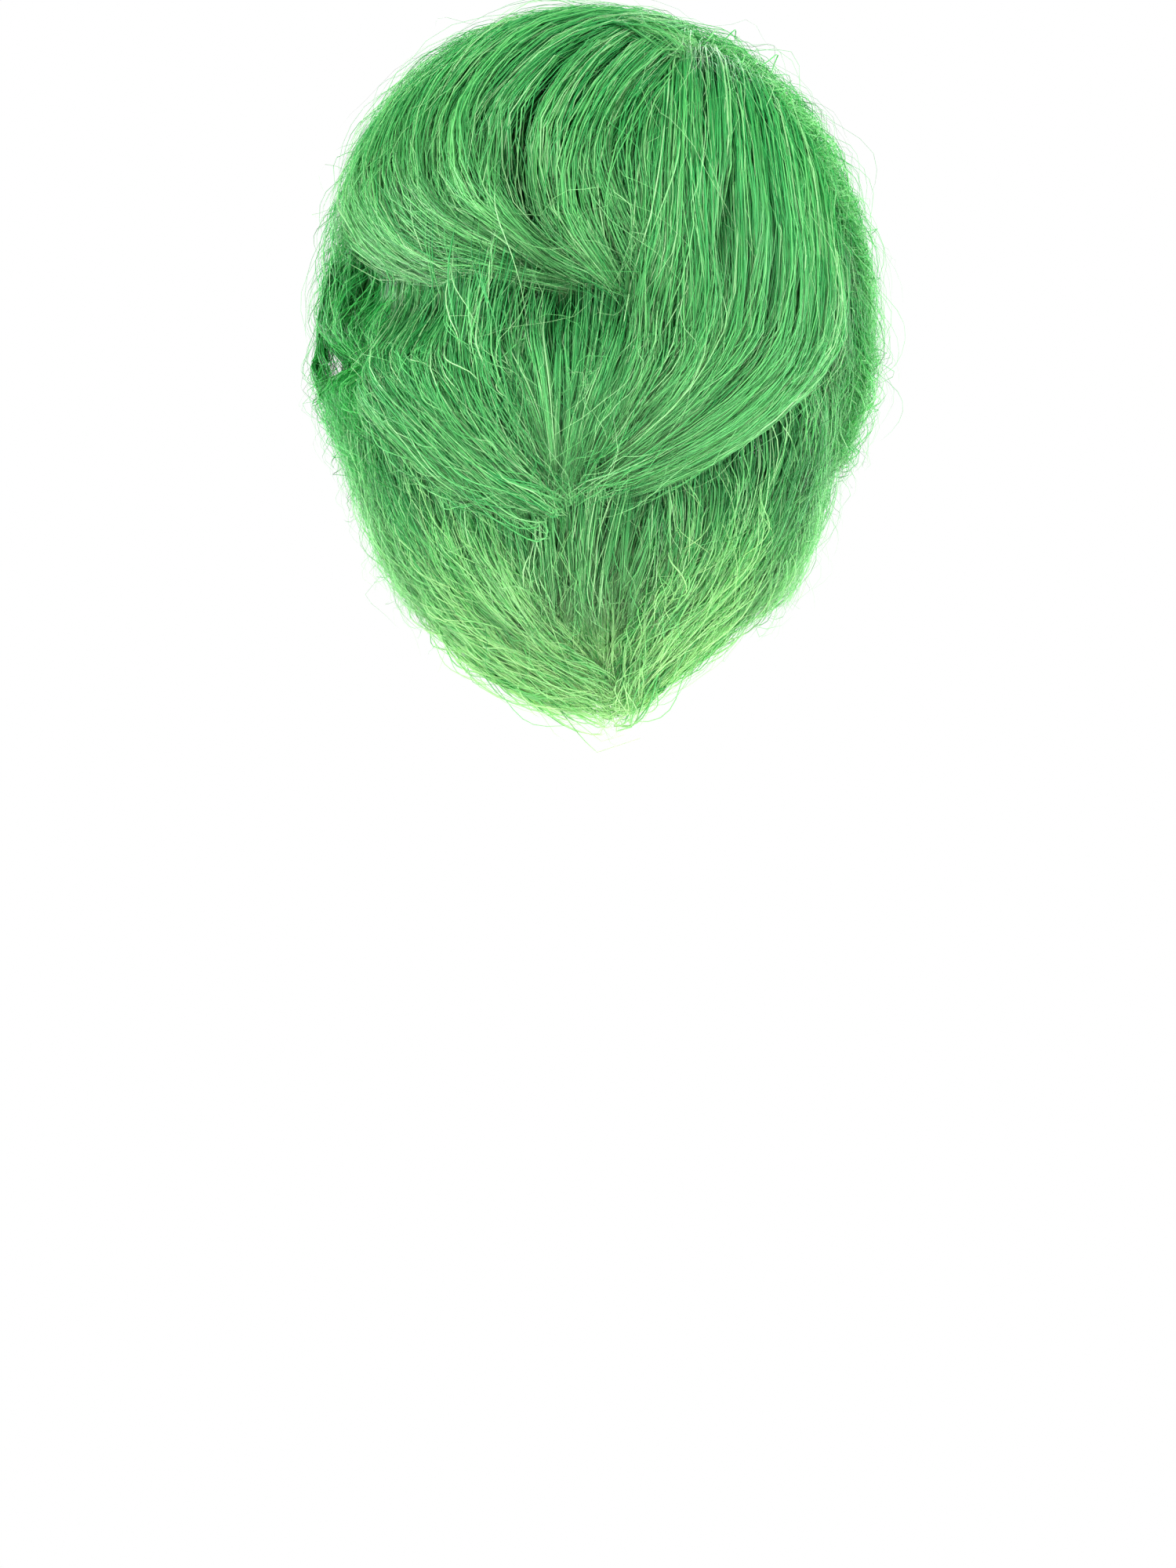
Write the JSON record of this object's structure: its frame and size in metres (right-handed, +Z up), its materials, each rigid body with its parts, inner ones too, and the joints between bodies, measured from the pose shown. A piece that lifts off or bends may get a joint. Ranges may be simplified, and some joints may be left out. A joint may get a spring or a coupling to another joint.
{
  "type": "costume wig",
  "caption": "Short layered costume wig in bright green: a stretch net cap with sewn weft rows, elastic binding, ear tabs, sliding nape adjusters and long hair swept over from a side parting.",
  "frame": {"origin": "inside of the crown, where the top of the head touches the cap", "axes": "+Z up, the wearer faces -Y, +X is the wearer's left"},
  "size_m": [0.2083, 0.2336, 0.2623],
  "materials": {
    "hair": "glossy synthetic fibre, bright green with bluish and yellowish streaks",
    "cap_net": "dark green stretch net",
    "cap_tape": "matt green elastic binding and ribbon",
    "weft_tape": "folded, machine-sewn weft heads",
    "strap_elastic": "flat woven elastic",
    "parting_skin": "skin-coloured matt knit",
    "hook_plastic": "clear white moulded plastic",
    "stay_plastic": "flat bendable stay",
    "label_cloth": "blank woven cloth"
  },
  "bodies": {
    "wig": {"crown_net": "cap_net", "nape_band": "cap_tape", "front_band": "cap_tape", "side_band_left": "cap_tape", "side_band_right": "cap_tape", "ribbon_centre": "cap_tape", "ribbon_left": "cap_tape", "ribbon_right": "cap_tape", "ribbon_side_left": "cap_tape", "ribbon_side_right": "cap_tape", "ear_tab_left": "cap_tape", "ear_tab_right": "cap_tape", "strap_channel_left": "cap_tape", "strap_channel_right": "cap_tape", "hook_loops_left": "cap_tape", "hook_loops_right": "cap_tape", "weft_crown_upper": "weft_tape", "weft_crown_middle": "weft_tape", "weft_crown_lower": "weft_tape", "weft_back_1": "weft_tape", "weft_back_2": "weft_tape", "weft_back_3": "weft_tape", "weft_back_4": "weft_tape", "weft_back_5": "weft_tape", "weft_back_6": "weft_tape", "weft_nape": "weft_tape", "parting_patch": "parting_skin", "ear_stay_left": "stay_plastic", "ear_stay_right": "stay_plastic", "size_label": "label_cloth", "crown_sweep": "hair", "back_right_sweep": "hair", "side_right_upper": "hair", "side_left_upper": "hair", "fringe_sweep": "hair", "fringe_right": "hair", "back_centre_fan": "hair", "back_left_sweep": "hair", "back_right_under": "hair", "side_left_lower": "hair", "side_right_lower": "hair", "side_lock_left": "hair", "side_lock_right": "hair", "lower_back_right": "hair", "lower_back_centre": "hair", "lower_back_left": "hair", "lower_side_left": "hair", "lower_side_right": "hair", "nape_centre": "hair", "nape_left": "hair", "nape_right": "hair"},
    "strap_left": {"adjuster_strap_left": "strap_elastic", "strap_hook_left": "hook_plastic"},
    "strap_right": {"adjuster_strap_right": "strap_elastic", "strap_hook_right": "hook_plastic"}
  },
  "joints": [
    {"name": "adjuster_left", "type": "hinge", "parent": "wig", "child": "strap_left", "pos_m": [-0.00572, 0.01301, -0.15405], "axis": [0, 0, 1], "range_deg": [0, 13.6]},
    {"name": "adjuster_right", "type": "hinge", "parent": "wig", "child": "strap_right", "pos_m": [0.00572, 0.01301, -0.15405], "axis": [0, 0, 1], "range_deg": [-13.6, 0]}
  ]
}
